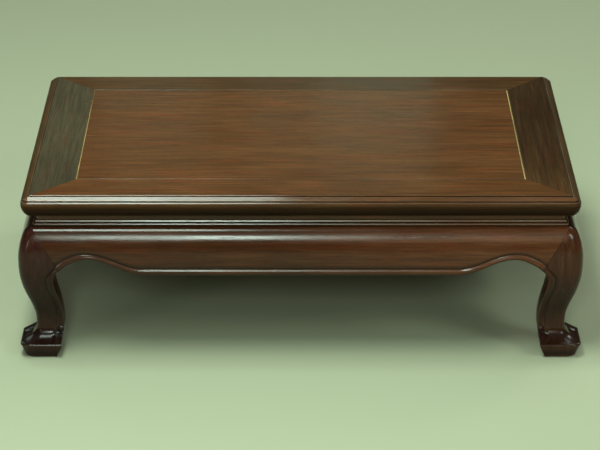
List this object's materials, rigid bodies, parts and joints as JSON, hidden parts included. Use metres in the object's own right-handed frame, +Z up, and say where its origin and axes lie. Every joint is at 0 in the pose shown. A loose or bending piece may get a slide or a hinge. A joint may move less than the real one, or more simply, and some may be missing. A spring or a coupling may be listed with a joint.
{
  "type": "low display table",
  "caption": "Low rectangular display table of dark lacquered wood, with a framed panel top, recessed waist, bulging aprons and S-curved legs.",
  "frame": {"origin": "on the floor, under the middle of the top", "axes": "+X along the length of the top, +Z up, and the long front side faces -Y"},
  "size_m": [0.745, 0.491, 0.227],
  "materials": {
    "panel": "reddish brown hardwood under clear gloss lacquer, fine grain along the length",
    "rail": "dark brown hardwood under gloss lacquer",
    "waist": "near black lacquered hardwood, worn lighter along the beads",
    "apron": "dark reddish brown hardwood under gloss lacquer",
    "leg": "near black brown hardwood under gloss lacquer",
    "bare_wood": "unfinished planed softwood"
  },
  "bodies": {
    "root": {"top_panel": "panel", "top_rail_front": "rail", "top_rail_right": "rail", "top_rail_back": "rail", "top_rail_left": "rail", "panel_batten_left": "bare_wood", "panel_batten_right": "bare_wood", "waist_front": "waist", "waist_right": "waist", "waist_back": "waist", "waist_left": "waist", "shoulder_bead_front": "waist", "shoulder_bead_right": "waist", "shoulder_bead_back": "waist", "shoulder_bead_left": "waist", "apron_front": "apron", "apron_right": "apron", "apron_back": "apron", "apron_left": "apron", "leg_front_left": "leg", "leg_front_right": "leg", "leg_back_right": "leg", "leg_back_left": "leg", "corner_block_front_left": "bare_wood", "corner_block_front_right": "bare_wood", "corner_block_back_right": "bare_wood", "corner_block_back_left": "bare_wood"}
  },
  "joints": []
}
